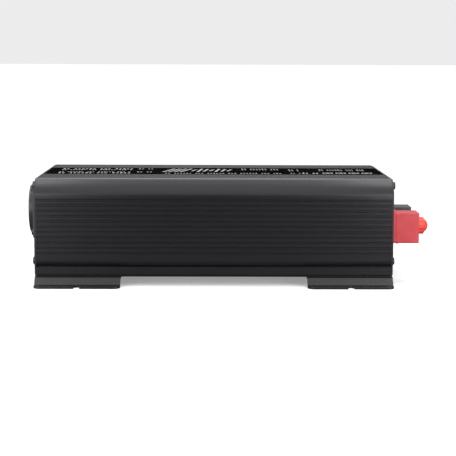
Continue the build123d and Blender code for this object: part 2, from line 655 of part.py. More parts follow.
def fan_guard():
    """Wire guard over the fan opening."""
    wire = 0.8
    ring_x = DC_FACE + 3.0
    centre = Pos(ring_x, FAN_Y, FAN_Z) * Rot(Y=90)
    guard = centre * Torus(8.0, wire)
    for radius in (14.0, 20.0, 26.0):
        guard += centre * Torus(radius, wire)
    for dy, dz in corner_offsets(FAN_HOLE_OFFSET):
        angle = math.degrees(math.atan2(dz, dy)) - 90
        arm = Pos(ring_x - 1.3, 0, 19.0) * Box(1.4, 1.6, 24.0)
        arm += rod_x(0, FAN_HOLE_OFFSET * math.sqrt(2), DC_FACE, DC_FACE + 1.4, 3.6)
        arm += Pos(DC_FACE + 0.7, 0, 31.0) * Box(1.4, 1.6, 4.0)
        arm -= rod_x(0, FAN_HOLE_OFFSET * math.sqrt(2), DC_FACE - 1, DC_FACE + 2, 2.1)
        guard += Pos(0, FAN_Y, FAN_Z) * Rot(X=angle) * arm
    return guard


def fan_screws():
    """Four screws through the guard, the plate and the fan frame."""
    face = DC_FACE + 1.4
    return [pan_screw_x(FAN_Y + dy, FAN_Z + dz, face, 1, 22.0, 3.2, 2.0, 1.9)
            for dy, dz in corner_offsets(FAN_HOLE_OFFSET)]


# ---- inside ----
def board_hole_spots():
    """Screw places of the main board."""
    xs = (BOARD_FROM + 6.0, (BOARD_FROM + BOARD_TO) / 2, BOARD_TO - 6.0)
    return [(MIDDLE_X + x, side * (BOARD_WIDTH / 2 - 8.0)) for x in xs for side in (-1, 1)]


def main_board():
    """Main circuit board on its spacers."""
    board = block(MIDDLE_X + BOARD_FROM, MIDDLE_X + BOARD_TO, -BOARD_WIDTH / 2, BOARD_WIDTH / 2,
                  BOARD_Z, BOARD_TOP)
    for x, y in board_hole_spots():
        board -= rod_z(x, y, BOARD_Z - 1, BOARD_TOP + 1, 1.7)
    return board


def board_spacers():
    """Hexagon spacers between the insulation sheet's holes and the board."""
    spacers = []
    for x, y in board_hole_spots():
        spacer = Pos(x, y, TRAY_FLOOR_Z) * extrude(RegularPolygon(3.0, 6), BOARD_Z - TRAY_FLOOR_Z)
        spacers.append(spacer - rod_z(x, y, BOARD_Z - 5, BOARD_Z + 1, 1.5))
    return spacers


def board_screws():
    """Screws that hold the main board to its spacers."""
    return [rod_z(x, y, BOARD_TOP, BOARD_TOP + 2.2, 2.8) + rod_z(x, y, BOARD_Z - 4.5, BOARD_TOP, 1.45)
            for x, y in board_hole_spots()]


def insulation_sheet():
    """Insulating sheet on the tray floor under the board."""
    sheet = block(MIDDLE_X - 152.0, MIDDLE_X + 152.0, -84.0, 84.0, TRAY_FLOOR_Z, TRAY_FLOOR_Z + 0.5)
    for x, y in board_hole_spots():
        sheet -= rod_z(x, y, TRAY_FLOOR_Z - 1, TRAY_FLOOR_Z + 2, 4.2)
    for x, y in foot_screw_spots():
        sheet -= rod_z(x, y, TRAY_FLOOR_Z - 1, TRAY_FLOOR_Z + 2, 5.5)
    return sheet


TRANSFORMER_SPOTS = [(42.0, y) for y in (-52.0, 0.0, 52.0)]
INPUT_CAPACITOR_SPOTS = [(x, y) for x in (80.0, 101.0) for y in (-72.0, -50.0, -28.0)]
BUS_CAPACITOR_SPOTS = [(-4.0, 16.0), (-4.0, 52.0)]


def transformer_cores():
    """Ferrite cores of the three step-up transformers."""
    cores = []
    for x, y in TRANSFORMER_SPOTS:
        core = Box(42.0, 15.0, 42.0) - Pos(-11.5, 0, 0) * Box(9.0, 16.0, 28.0)
        core -= Pos(11.5, 0, 0) * Box(9.0, 16.0, 28.0)
        cores.append(Pos(MIDDLE_X + x, y, BOARD_TOP + 24.0) * core)
    return cores


def transformer_windings():
    """Wound bobbins round the middle legs of the transformer cores."""
    coils = []
    for x, y in TRANSFORMER_SPOTS:
        coil = fillet(Box(30.0, 33.0, 26.0).edges().filter_by(Axis.Z), 6.0)
        coil -= Box(14.2, 15.2, 28.0)
        coil -= Pos(-18.0, 0, 0) * Box(5.0, 15.2, 28.0) + Pos(18.0, 0, 0) * Box(5.0, 15.2, 28.0)
        foot = Pos(0, 0, -19.0) * (Box(20.0, 30.0, 10.0) - Box(44.0, 15.6, 12.0))
        coils.append(Pos(MIDDLE_X + x, y, BOARD_TOP + 24.0) * (coil + foot))
    return coils


def capacitors(spots, radius, height):
    """Upright can capacitors on the main board."""
    cans = []
    for x, y in spots:
        can = rod_z(MIDDLE_X + x, y, BOARD_TOP, BOARD_TOP + height, radius)
        can = fillet(can.edges().sort_by(Axis.Z)[-1], 1.0)
        groove = Pos(MIDDLE_X + x, y, BOARD_TOP + 4.0) * Torus(radius + 0.4, 1.0)
        cans.append(can - groove)
    return cans


TRANSISTOR_XS = [-100.0 + 22.0 * step for step in range(10)]


def heat_bars():
    """Aluminium bars that press the transistors' heat into the side walls."""
    inner = HALF - WALL
    return [block(MIDDLE_X - 112.0, MIDDLE_X + 110.0, *sorted((side * (inner - 8.6), side * inner)),
                  32.0, 72.0) for side in (-1, 1)]


def power_transistors():
    """Two rows of power transistors with their legs in the board."""
    face = HALF - WALL - 8.6
    rows = []
    for side in (-1, 1):
        for x in TRANSISTOR_XS:
            centre = MIDDLE_X + x
            case_ys = sorted((side * (face - 5.0), side * face))
            leg_ys = sorted((side * (face - 3.6), side * (face - 3.0)))
            case = block(centre - 8.0, centre + 8.0, *case_ys, 38.0, 59.0)
            for leg in (-5.4, 0.0, 5.4):
                leg_x = centre + leg
                case += block(leg_x - 0.6, leg_x + 0.6, *leg_ys, BOARD_TOP, 38.5)
            rows.append(case)
    return rows


def transistor_clamps():
    """Spring strips over each row of transistors."""
    face = HALF - WALL - 8.6 - 5.0
    return [block(MIDDLE_X - 112.0, MIDDLE_X + 110.0, *sorted((side * (face - 1.2), side * face)),
                  44.0, 54.0) for side in (-1, 1)]


CHOKE_X = -72.0
CHOKE_Y = 44.0


def choke_core():
    """Ring core of the output choke."""
    return choke_place() * (rod_z(0, 0, -8.0, 8.0, 19.0) - rod_z(0, 0, -9.0, 9.0, 10.5))


def choke_place():
    """Middle of the output choke."""
    return Pos(MIDDLE_X + CHOKE_X, CHOKE_Y, BOARD_TOP + 10.5)


def choke_winding():
    """Single turns of thick wire round the ring core."""
    turns = []
    for step in range(18):
        turn = Pos(14.75, 0, 0) * (Box(11.5, 1.8, 19.0) - Box(8.7, 2.0, 16.2))
        turns.append(choke_place() * Rot(Z=step * 20) * turn)
    return turns


def control_board():
    """Upright control board with its chips."""
    x = MIDDLE_X - 34.0
    board = block(x - 38.0, x + 38.0, -30.8, -29.2, BOARD_TOP, BOARD_TOP + 38.0)
    for dx, dz, width, height in ((-24, 24, 12, 12), (0, 22, 16, 8), (24, 24, 10, 10), (4, 9, 10, 5)):
        board += block(x + dx - width / 2, x + dx + width / 2, -29.2, -27.2,
                       BOARD_TOP + dz - height / 2, BOARD_TOP + dz + height / 2)
    return board


def blade_fuses():
    """Blade fuses of the battery side."""
    fuses = []
    for step in range(4):
        y = 18.0 + step * 9.0
        x = MIDDLE_X + 104.0
        fuse = block(x - 9.5, x + 9.5, y - 2.5, y + 2.5, BOARD_TOP + 6.0, BOARD_TOP + 17.0)
        for tab_x in (x - 6.5, x + 6.5):
            fuse += block(tab_x - 2.0, tab_x + 2.0, y - 0.4, y + 0.4, BOARD_TOP, BOARD_TOP + 8.0)
        fuses.append(fuse)
    return fuses


def output_relay():
    """Sealed relay that switches the mains side."""
    x = MIDDLE_X - 106.0
    case = block(x - 14.0, x + 14.0, -6.0, 7.0, BOARD_TOP, BOARD_TOP + 25.0)
    return fillet(case.edges().filter_by(Axis.Z), 1.0)


def output_terminals():
    """Screw terminals on the board where the socket leads start."""
    x = MIDDLE_X - 112.0
    case = block(x - 6.0, x + 6.0, -66.0, -18.0, BOARD_TOP, BOARD_TOP + 12.0)
    for y in lead_ys():
        case -= rod_z(x, y, BOARD_TOP + 5.0, BOARD_TOP + 13.0, 1.6)
    return case


def lead_ys():
    """Places of the leads in the row of screw terminals, two for each socket."""
    return [-60.0, -48.0, -36.0, -24.0]


def socket_leads():
    """Wires from the board terminals to the rear tags of the sockets."""
    x = MIDDLE_X - 112.0
    tag_x = AC_FACE - SOCKET_PROUD + SOCKET_WELL_DEPTH + 22.0
    tags = [y + side * SOCKET_PIN_Y for y in SOCKET_YS for side in (-1, 1)]
    leads = []
    for step, (start_y, tag_y) in enumerate(zip(lead_ys(), tags)):
        rise = 44.0 + 3.0 * step
        leads.append(lead([
            (x, start_y, BOARD_TOP + 5.0), (x, start_y, rise),
            (x - 4.0, tag_y, rise + 12.0), (x - 12.0, tag_y, SOCKET_Z), (tag_x, tag_y, SOCKET_Z),
        ], 1.4, 3.0))
    return leads


def busbar(y):
    """Copper strip from a terminal stud down to the main board."""
    inner = DC_FACE - 14.0
    strip = block(inner, inner + 3.0, y - 9.0, y + 9.0, BOARD_TOP + 3.0, TERMINAL_Z + 11.0)
    foot = block(MIDDLE_X + BOARD_TO - 18.0, inner + 3.0, y - 9.0, y + 9.0, BOARD_TOP, BOARD_TOP + 3.0)
    return (strip + foot) - rod_x(y, TERMINAL_Z, inner - 1, inner + 4, STUD_R)


# ---- all sub-parts ----
def write(node, shapes):
    """Writes one node as a STEP file, each piece its own solid."""
    solids = [solid for shape in shapes for solid in shape.solids()]
    export_step(Compound(label=node, children=solids), f"parts/{node}.step")


def build():
    """Builds every node."""
    nodes = {
        "housing_shell": [housing_shell()],
        "base_tray": [base_tray()],
        "end_plate_ac": [end_plate_ac()],
        "end_plate_dc": [end_plate_dc()],
        "end_screws_ac": end_plate_screws(AC_FACE, -1),
        "end_screws_dc": end_plate_screws(DC_FACE, 1),
        "foot_bracket_ac": [foot_bracket(FOOT_XS[0])],
        "foot_bracket_dc": [foot_bracket(FOOT_XS[1])],
        "foot_screws": foot_screws(),
        "clinch_nuts": clinch_nuts(),
        "top_label": [top_label()],
        "mains_socket_1": [mains_socket(SOCKET_YS[0])],
        "mains_socket_2": [mains_socket(SOCKET_YS[1])],
        "socket_contacts": socket_contacts(),
        "earth_clips": earth_clips(),
        "socket_screws": socket_screws(),
        "switch_bezel": [switch_bezel()],
        "power_rocker": [power_rocker()],
        "usb_bezel": [usb_bezel()],
        "usb_shell": [usb_shell()],
        "usb_tongue": [usb_tongue()],
        "power_lamp": [lamp_lens(LED_YS[0])],
        "fault_lamp": [lamp_lens(LED_YS[1])],
        "lamp_board": [lamp_board()],
        "earth_stud": [earth_stud()],
        "earth_hardware": earth_hardware(),
        "terminal_base_red": [terminal_base(TERMINAL_YS[0])],
        "terminal_base_black": [terminal_base(TERMINAL_YS[1])],
        "terminal_studs": terminal_studs(),
        "terminal_nuts": terminal_nuts(),
        "terminal_cover_red": [terminal_cover(TERMINAL_YS[0])],
        "terminal_cover_black": [terminal_cover(TERMINAL_YS[1])],
        "thumb_knob_red": [thumb_knob(TERMINAL_YS[0])],
        "thumb_knob_black": [thumb_knob(TERMINAL_YS[1])],
        "fan_frame": [fan_frame()],
        "fan_rotor": [fan_rotor()],
        "fan_shaft": [fan_shaft()],
        "fan_guard": [fan_guard()],
        "fan_screws": fan_screws(),
        "insulation_sheet": [insulation_sheet()],
        "main_board": [main_board()],
        "board_spacers": board_spacers(),
        "board_screws": board_screws(),
        "transformer_cores": transformer_cores(),
        "transformer_windings": transformer_windings(),
        "input_capacitors": capacitors(INPUT_CAPACITOR_SPOTS, 9.0, 36.0),
        "bus_capacitors": capacitors(BUS_CAPACITOR_SPOTS, 15.0, 45.0),
        "heat_bars": heat_bars(),
        "power_transistors": power_transistors(),
        "transistor_clamps": transistor_clamps(),
        "choke_core": [choke_core()],
        "choke_winding": choke_winding(),
        "control_board": [control_board()],
        "blade_fuses": blade_fuses(),
        "output_relay": [output_relay()],
        "output_terminals": [output_terminals()],
        "socket_leads": socket_leads(),
        "busbar_positive": [busbar(TERMINAL_YS[0])],
        "busbar_negative": [busbar(TERMINAL_YS[1])],
    }
    os.makedirs("parts", exist_ok=True)
    for node, shapes in nodes.items():
        write(node, shapes)


build()
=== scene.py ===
import math

import bmesh
import bpy
from mathutils import Matrix, Vector


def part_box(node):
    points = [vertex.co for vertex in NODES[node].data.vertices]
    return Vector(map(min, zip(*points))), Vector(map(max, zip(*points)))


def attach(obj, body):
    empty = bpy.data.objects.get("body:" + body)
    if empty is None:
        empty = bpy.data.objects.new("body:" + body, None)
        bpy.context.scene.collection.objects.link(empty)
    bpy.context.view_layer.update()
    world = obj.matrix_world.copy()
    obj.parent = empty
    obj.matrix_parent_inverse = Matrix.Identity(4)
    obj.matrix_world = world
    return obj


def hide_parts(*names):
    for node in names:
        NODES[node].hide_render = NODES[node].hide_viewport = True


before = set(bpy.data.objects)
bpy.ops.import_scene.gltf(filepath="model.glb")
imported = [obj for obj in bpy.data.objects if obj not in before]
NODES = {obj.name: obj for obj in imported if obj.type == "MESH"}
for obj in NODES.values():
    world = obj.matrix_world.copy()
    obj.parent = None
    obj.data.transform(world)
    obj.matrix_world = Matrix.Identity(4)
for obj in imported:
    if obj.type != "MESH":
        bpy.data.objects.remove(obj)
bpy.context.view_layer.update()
MM = 0.001


# ---- small helpers ----
def mesh_object(name, bm, body="root", smooth=True):
    """Turns a bmesh into an object that rides on a CAD body."""
    bmesh.ops.recalc_face_normals(bm, faces=bm.faces)
    mesh = bpy.data.meshes.new(name)
    bm.to_mesh(mesh)
    bm.free()
    for face in mesh.polygons:
        face.use_smooth = smooth
    obj = bpy.data.objects.new(name, mesh)
    bpy.context.scene.collection.objects.link(obj)
    if body:
        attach(obj, body)
    return obj


def bridge(bm, first, second):
    """Joins two closed loops of as many points by a band of faces."""
    count = len(first)
    for i in range(count):
        j = (i + 1) % count
        bm.faces.new((first[i], first[j], second[j], second[i]))


def loft(bm, loops):
    """Joins each closed loop to the next, and closes the first and the last."""
    for first, second in zip(loops, loops[1:]):
        bridge(bm, first, second)
    bm.faces.new(list(reversed(loops[0])))
    bm.faces.new(loops[-1])


def around(place, radius, angle, height):
    """A point at a radius and angle about the place's Z, and a height along it."""
    return place @ Vector((radius * math.cos(angle), radius * math.sin(angle), height))


def full_turn(count, start=0.0):
    """Evenly spaced angles over a full turn."""
    return [start + 2 * math.pi * i / count for i in range(count)]


def add_prism(bm, outline, place, depth):
    """Adds a straight prism: an outline in the place's X and Y, pushed along its Z by depth."""
    loft(bm, [[bm.verts.new(place @ Vector((u, v, z))) for u, v in outline] for z in (0.0, depth)])


def rounded_rectangle(width, height, radius, steps=4):
    """Outline of a rectangle with round corners, centred on the origin."""
    points = []
    for quarter, (sx, sy) in enumerate(((1, 1), (-1, 1), (-1, -1), (1, -1))):
        centre = (sx * (width / 2 - radius), sy * (height / 2 - radius))
        for step in range(steps + 1):
            angle = math.radians(90 * (quarter + step / steps))
            points.append((centre[0] + radius * math.cos(angle), centre[1] + radius * math.sin(angle)))
    return points


def centre_of(node):
    """Middle of a CAD node's box."""
    low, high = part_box(node)
    return (low + high) / 2


def plane_at(origin, across, up):
    """A place whose X and Y lie along across and up, with its Z along their cross product."""
    across = Vector(across)
    up = Vector(up)
    out = across.cross(up)
    rows = [[across[i], up[i], out[i], origin[i]] for i in range(3)]
    return Matrix(rows + [[0, 0, 0, 1]])


# ---- materials ----
class Surface:
    """A Principled material whose colour, roughness and bump come from object-space patterns."""

    def __init__(self, name, colour, rough, **sockets):
        self.material = bpy.data.materials.new(name)
        self.material.use_nodes = True
        self.tree = self.material.node_tree
        self.shader = self.tree.nodes["Principled BSDF"]
        self.place = self.tree.nodes.new("ShaderNodeTexCoord").outputs["Object"]
        self.shader.inputs["Base Color"].default_value = (*colour, 1)
        self.shader.inputs["Roughness"].default_value = rough
        for label, value in sockets.items():
            self.shader.inputs[label.replace("_", " ")].default_value = value
        self.normal = None

    def make(self, kind, links=None, **values):
        """Adds a node, sets its values by socket name and links the given sources."""
        made = self.tree.nodes.new(kind)
        for label, value in values.items():
            if hasattr(made, label):
                setattr(made, label, value)
            else:
                made.inputs[label.replace("_", " ")].default_value = value
        for label, source in (links or {}).items():
            self.tree.links.new(source, made.inputs[label])
        return made

    def noise(self, size, stretch=(1, 1, 1), detail=2.0):
        """Noise whose features are about size metres, longer along an axis with a larger stretch."""
        mapping = self.make("ShaderNodeMapping", {"Vector": self.place})
        mapping.inputs["Scale"].default_value = [1 / (size * s) for s in stretch]
        texture = self.make("ShaderNodeTexNoise", {"Vector": mapping.outputs["Vector"]}, Detail=detail)
        texture.inputs["Scale"].default_value = 1.0
        return texture.outputs["Fac"]

    def span(self, source, low, high, start=0.3, end=0.7):
        """Maps a pattern from start..end to low..high."""
        made = self.make("ShaderNodeMapRange", {"Value": source})
        for label, value in (("From Min", start), ("From Max", end), ("To Min", low), ("To Max", high)):
            made.inputs[label].default_value = value
        return made.outputs["Result"]

    def mix(self, factor, first, second):
        """Mixes two colours, each a tuple or a socket."""
        made = self.tree.nodes.new("ShaderNodeMix")
        made.data_type = "RGBA"
        self.tree.links.new(factor, made.inputs["Factor"])
        for socket, value in ((made.inputs[6], first), (made.inputs[7], second)):
            if isinstance(value, tuple):
                socket.default_value = (*value, 1)
            else:
                self.tree.links.new(value, socket)
        return made.outputs[2]

    def drive(self, label, source):
        """Drives a shader socket by a pattern."""
        self.tree.links.new(source, self.shader.inputs[label])

    def bump(self, source, height):
        """Adds relief, height metres deep, on top of what is there."""
        links = {"Height": source}
        if self.normal:
            links["Normal"] = self.normal
        made = self.make("ShaderNodeBump", links, Strength=1.0, Distance=height)
        self.normal = made.outputs["Normal"]
        self.drive("Normal", self.normal)

    def edges(self, radius):
        """About 1 on convex and concave edges narrower than radius, and 0 elsewhere."""
        bevel = self.make("ShaderNodeBevel", samples=4, Radius=radius)
        flat = self.make("ShaderNodeNewGeometry")
        dot = self.make("ShaderNodeVectorMath", operation="DOT_PRODUCT")
        self.tree.links.new(bevel.outputs["Normal"], dot.inputs[0])
        self.tree.links.new(flat.outputs["Normal"], dot.inputs[1])
        return self.span(dot.outputs["Value"], 1.0, 0.0, 0.80, 0.985)

    def worn_and_highlit(self, colour, patch, radius, amount):
        """Partly edge wear, partly a painted edge highlight: patchy colour along the edges, convex and
        concave.
        """
        patches = self.span(self.noise(patch, detail=3.0), 0.0, amount, 0.35, 0.65)
        both = self.make("ShaderNodeMath", operation="MULTIPLY")
        self.tree.links.new(self.edges(radius), both.inputs[0])
        self.tree.links.new(patches, both.inputs[1])
        socket = self.shader.inputs["Base Color"]
        base = socket.links[0].from_socket if socket.is_linked else tuple(socket.default_value)[:3]
        self.drive("Base Color", self.mix(both.outputs["Value"], base, colour))


def anodised(name, dark, light, rough, wear_and_highlight=0.5):
    """Black anodised extrusion: faint die lines along X, a fine matt grain and lighter edges, partly wear
    and partly a painted highlight.
    """
    s = Surface(name, dark, rough, Specular_IOR_Level=0.5, Specular_Tint=(0.95, 0.93, 1.0, 1.0))
    lines = s.noise(0.0007, (400, 1, 1), 2.0)
    cloud = s.noise(0.045, (3, 1, 1), 3.0)
    grain = s.noise(0.0004, detail=1.0)
    s.drive("Base Color", s.mix(s.span(cloud, 0.0, 1.0), dark, light))
    s.drive("Roughness", s.span(lines, rough - 0.02, rough + 0.02))
    s.bump(lines, 0.000002)
    s.bump(grain, 0.000004)
    # Lighter colour on the edges: partly wear, partly a painted highlight.
    s.worn_and_highlit((0.16, 0.16, 0.17), 0.006, 0.00035, wear_and_highlight)
    return s.material


def powder_coat(name, dark, light, rough):
    """Black powder coat: orange peel relief, faint dust and thin lighter edges, partly wear and partly a
    painted highlight.
    """
    s = Surface(name, dark, rough, Specular_IOR_Level=0.5)
    peel = s.noise(0.0011, detail=2.0)
    cloud = s.noise(0.03, detail=3.0)
    s.drive("Base Color", s.mix(s.span(cloud, 0.0, 1.0), dark, light))
    s.drive("Roughness", s.span(peel, rough - 0.06, rough + 0.06))
    s.bump(peel, 0.00006)
    # Lighter colour on the edges: partly wear, partly a painted highlight.
    s.worn_and_highlit((0.22, 0.22, 0.22), 0.004, 0.0004, 0.4)
    return s.material


def moulded(name, dark, light, rough, texture=0.00003, subsurface=0.0):
    """Moulded plastic: spark texture and a slow drift in colour and gloss."""
    s = Surface(name, dark, rough, Specular_IOR_Level=0.5)
    if subsurface:
        s.shader.inputs["Subsurface Weight"].default_value = subsurface
        s.shader.inputs["Subsurface Radius"].default_value = (0.004, 0.0015, 0.001)
        s.shader.inputs["Subsurface Scale"].default_value = 0.5
    spark = s.noise(0.0005, detail=2.0)
    drift = s.noise(0.012, detail=3.0)
    s.drive("Base Color", s.mix(s.span(drift, 0.0, 1.0), dark, light))
    s.drive("Roughness", s.span(drift, rough - 0.05, rough + 0.05))
    s.bump(spark, texture)
    return s.material


def metal(name, dark, light, rough, stretch=(1, 1, 1), scratch=0.000006):
    """Bare or plated metal: turning or rolling marks and a slow tarnish."""
    s = Surface(name, dark, rough, Metallic=1.0)
    marks = s.noise(0.0004, stretch, 2.0)
    tarnish = s.noise(0.006, detail=4.0)
    s.drive("Base Color", s.mix(s.span(tarnish, 0.0, 1.0), dark, light))
    s.drive("Roughness", s.span(tarnish, rough + 0.12, rough - 0.05))
    s.bump(marks, scratch)
    return s.material


def circuit_board(name):
    """Green solder mask over a pattern of copper traces."""
    s = Surface(name, (0.008, 0.06, 0.02), 0.35, Specular_IOR_Level=0.5)
    traces = s.make("ShaderNodeTexBrick", {"Vector": s.place}, Scale=90.0)
    traces.inputs["Mortar Size"].default_value = 0.06
    fine = s.noise(0.004, detail=4.0)
    s.drive("Base Color", s.mix(traces.outputs["Fac"], (0.008, 0.07, 0.025), (0.02, 0.14, 0.05)))
    s.drive("Roughness", s.span(fine, 0.28, 0.45))
    s.bump(traces.outputs["Fac"], 0.00003)
    return s.material


def lens(name, colour, glow):
    """Clear tinted lamp lens with a diode that shows faintly through."""
    s = Surface(name, colour, 0.12, Specular_IOR_Level=0.5, Transmission_Weight=0.35)
    s.shader.inputs["Emission Color"].default_value = (*colour, 1)
    rings = s.make("ShaderNodeTexWave", {"Vector": s.place}, Scale=400.0)
    rings.wave_type = "RINGS"
    cloud = s.noise(0.0015, detail=2.0)
    deep = tuple(0.5 * c for c in colour)
    s.drive("Base Color", s.mix(s.span(cloud, 0.0, 1.0), deep, colour))
    s.drive("Emission Strength", s.span(cloud, 0.0, glow))
    s.bump(rings.outputs["Fac"], 0.00002)
    return s.material


def label_plastic(name):
    """Glossy black polycarbonate label: fine grain and faint rub marks."""
    s = Surface(name, (0.010, 0.010, 0.011), 0.08, Specular_IOR_Level=0.35)
    grain = s.noise(0.0003, detail=1.0)
    rub = s.noise(0.012, (3, 1, 1), 3.0)
    s.drive("Base Color", s.mix(s.span(rub, 0.0, 1.0), (0.006, 0.006, 0.007), (0.010, 0.010, 0.011)))
    s.drive("Roughness", s.span(rub, 0.06, 0.10))
    s.bump(grain, 0.000008)
    return s.material


def ink(name, colour, faded):
    """Screen print: slightly uneven cover."""
    s = Surface(name, colour, 0.5, Specular_IOR_Level=0.3)
    cover = s.noise(0.0012, detail=3.0)
    s.drive("Base Color", s.mix(s.span(cover, 0.0, 1.0), colour, faded))
    s.drive("Roughness", s.span(cover, 0.42, 0.6))
    s.bump(cover, 0.00001)
    return s.material


def tape(name, colour, gap):
    """Wound tape: overlapping turns with glossy and dull bands."""
    s = Surface(name, colour, 0.35, Specular_IOR_Level=0.5)
    turns = s.make("ShaderNodeTexWave", {"Vector": s.place}, Scale=110.0, bands_direction="Z")
    turns.wave_profile = "SAW"
    s.drive("Base Color", s.mix(turns.outputs["Fac"], colour, gap))
    s.drive("Roughness", s.span(turns.outputs["Fac"], 0.25, 0.45, 0.0, 1.0))
    s.bump(turns.outputs["Fac"], 0.0001)
    return s.material


FINISHES = {                # a maker for each record slot, and what it takes after the name
    # The housing's last value sets its lighter edge colour: partly wear, partly a painted highlight.
    "housing_black": (anodised, (0.0060, 0.0058, 0.0067), (0.0082, 0.0079, 0.0091), 0.27, 0.10),
    "plate_black": (anodised, (0.0045, 0.0044, 0.0048), (0.0065, 0.0063, 0.0068), 0.50),
    "foot_black": (powder_coat, (0.0070, 0.0070, 0.0073), (0.0100, 0.0100, 0.0104), 0.30),
    "screw_black": (metal, (0.05, 0.05, 0.052), (0.09, 0.09, 0.092), 0.38),
    "screw_steel": (metal, (0.45, 0.45, 0.44), (0.62, 0.62, 0.60), 0.28),
    "label_film": (label_plastic,),
    "socket_plastic": (moulded, (0.020, 0.020, 0.021), (0.030, 0.030, 0.031), 0.36),
    "brass_contact": (metal, (0.70, 0.48, 0.18), (0.80, 0.60, 0.28), 0.3),
    "spring_strip": (metal, (0.55, 0.55, 0.54), (0.70, 0.70, 0.68), 0.22, (30, 1, 1)),
    "switch_plastic": (moulded, (0.014, 0.014, 0.015), (0.022, 0.022, 0.023), 0.32),
    "rocker_plastic": (moulded, (0.014, 0.014, 0.015), (0.020, 0.020, 0.021), 0.22),
    "port_plastic": (moulded, (0.016, 0.016, 0.017), (0.024, 0.024, 0.025), 0.34),
    "port_metal": (metal, (0.60, 0.60, 0.60), (0.75, 0.75, 0.74), 0.24, (20, 1, 1)),
    "tongue_white": (moulded, (0.60, 0.60, 0.57), (0.72, 0.72, 0.69), 0.4),
    "lamp_green": (lens, (0.05, 0.45, 0.12), 0.25),
    "lamp_red": (lens, (0.50, 0.04, 0.03), 0.05),
    "terminal_red": (moulded, (0.54, 0.036, 0.048), (0.59, 0.046, 0.058), 0.38, 0.00002, 0.15),
    "knob_red": (moulded, (0.74, 0.062, 0.044), (0.80, 0.078, 0.056), 0.34, 0.00002, 0.2),
    "terminal_black": (moulded, (0.022, 0.022, 0.022), (0.032, 0.032, 0.032), 0.38, 0.00002),
    "stud_brass": (metal, (0.66, 0.46, 0.18), (0.78, 0.58, 0.27), 0.28),
    "fan_plastic": (moulded, (0.016, 0.016, 0.017), (0.024, 0.024, 0.025), 0.4),
    "guard_wire": (metal, (0.42, 0.42, 0.43), (0.58, 0.58, 0.58), 0.26),
    "board_green": (circuit_board,),
    "insulator": (moulded, (0.55, 0.50, 0.36), (0.64, 0.58, 0.43), 0.45),
    "ferrite": (moulded, (0.03, 0.03, 0.032), (0.05, 0.05, 0.052), 0.6, 0.00006),
    "winding_tape": (tape, (0.72, 0.52, 0.06), (0.50, 0.34, 0.03)),
    "copper": (metal, (0.72, 0.32, 0.16), (0.85, 0.45, 0.26), 0.3),
    "can_sleeve": (moulded, (0.012, 0.016, 0.035), (0.018, 0.024, 0.050), 0.25, 0.00001),
    "aluminium_bar": (metal, (0.62, 0.62, 0.63), (0.74, 0.74, 0.75), 0.35, (40, 1, 1)),
    "transistor_black": (moulded, (0.016, 0.016, 0.017), (0.022, 0.022, 0.023), 0.5),
    "fuse_orange": (moulded, (0.75, 0.25, 0.03), (0.85, 0.32, 0.05), 0.25, 0.00001, 0.1),
    "relay_blue": (moulded, (0.03, 0.12, 0.42), (0.04, 0.16, 0.50), 0.35),
    "block_green": (moulded, (0.03, 0.30, 0.10), (0.05, 0.38, 0.14), 0.4),
    "lead_sleeve": (moulded, (0.025, 0.022, 0.022), (0.04, 0.035, 0.035), 0.42),
}
MATERIALS = {slot: make(slot, *values) for slot, (make, *values) in FINISHES.items()}
WHITE_INK = ink("white_ink", (0.40, 0.40, 0.40), (0.32, 0.32, 0.32))


def paint(obj, material):
    """Gives an object one material."""
    obj.data.materials.clear()
    obj.data.materials.append(material)


def paint_nodes():
    """Gives every CAD node the finish that its record slot names, but for the blackened socket screws."""
    for obj in NODES.values():
        for entry in obj.material_slots:
            entry.material = MATERIALS[entry.material.name.split(".")[0]]
    for entry in NODES["socket_screws"].material_slots:
        entry.material = MATERIALS["screw_black"]


# ---- fine pieces ----
PRINT = 0.05 * MM           # thickness of screen print
SHORT_BAR = 0.7             # height of a short bar in a row of marks, next to a tall one
BAR_SHARE = 0.55            # width of a bar as a share of the pitch
PLATE_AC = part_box("end_plate_ac")[0][0]     # outer faces of the end plates
PLATE_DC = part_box("end_plate_dc")[1][0]
LABEL_LOW, LABEL_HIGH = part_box("top_label")
LABEL_MID = (LABEL_LOW + LABEL_HIGH) / 2
LABEL_GLUE = 0.05 * MM
LABEL_FILM = 0.15 * MM
LABEL_ROWS = (              # start, end, row, height and pitch in millimetres from the label's middle
    (-146.0, -76.0, -26.0, 9.0, 3.6),
    (-146.0, -76.0, -13.0, 5.0, 2.6),
    (-146.0, -76.0, 13.0, 6.0, 2.6),
    (-146.0, -76.0, 25.0, 9.0, 3.6),
    (-73.0, -56.0, -13.0, 7.0, 3.0),
    (-73.0, -56.0, 25.0, 7.0, 3.0),
    (-46.0, 64.0, -29.0, 5.5, 2.8),
    (26.0, 64.0, 16.0, 5.0, 2.8),
    (26.0, 64.0, 26.0, 5.0, 2.8),
    (71.0, 82.0, -26.0, 5.0, 2.6),
    (71.0, 82.0, 4.0, 5.0, 2.6),
    (71.0, 82.0, 16.0, 5.0, 2.6),
    (82.0, 99.0, -25.0, 11.0, 3.2),
    (100.0, 146.0, 8.0, 5.0, 2.6),
    (100.0, 146.0, 18.0, 5.0, 2.6),
)


def add_bar(bm, place, middle, width, height, lean=0.0):
    """A flat printed bar in millimetres, with its top pushed sideways by lean."""
    u, v = middle
    outline = [(-width / 2 - lean / 2, -height / 2), (width / 2 - lean / 2, -height / 2),
               (width / 2 + lean / 2, height / 2), (-width / 2 + lean / 2, height / 2)]
    add_prism(bm, [((u + a) * MM, (v + b) * MM) for a, b in outline], place, PRINT)


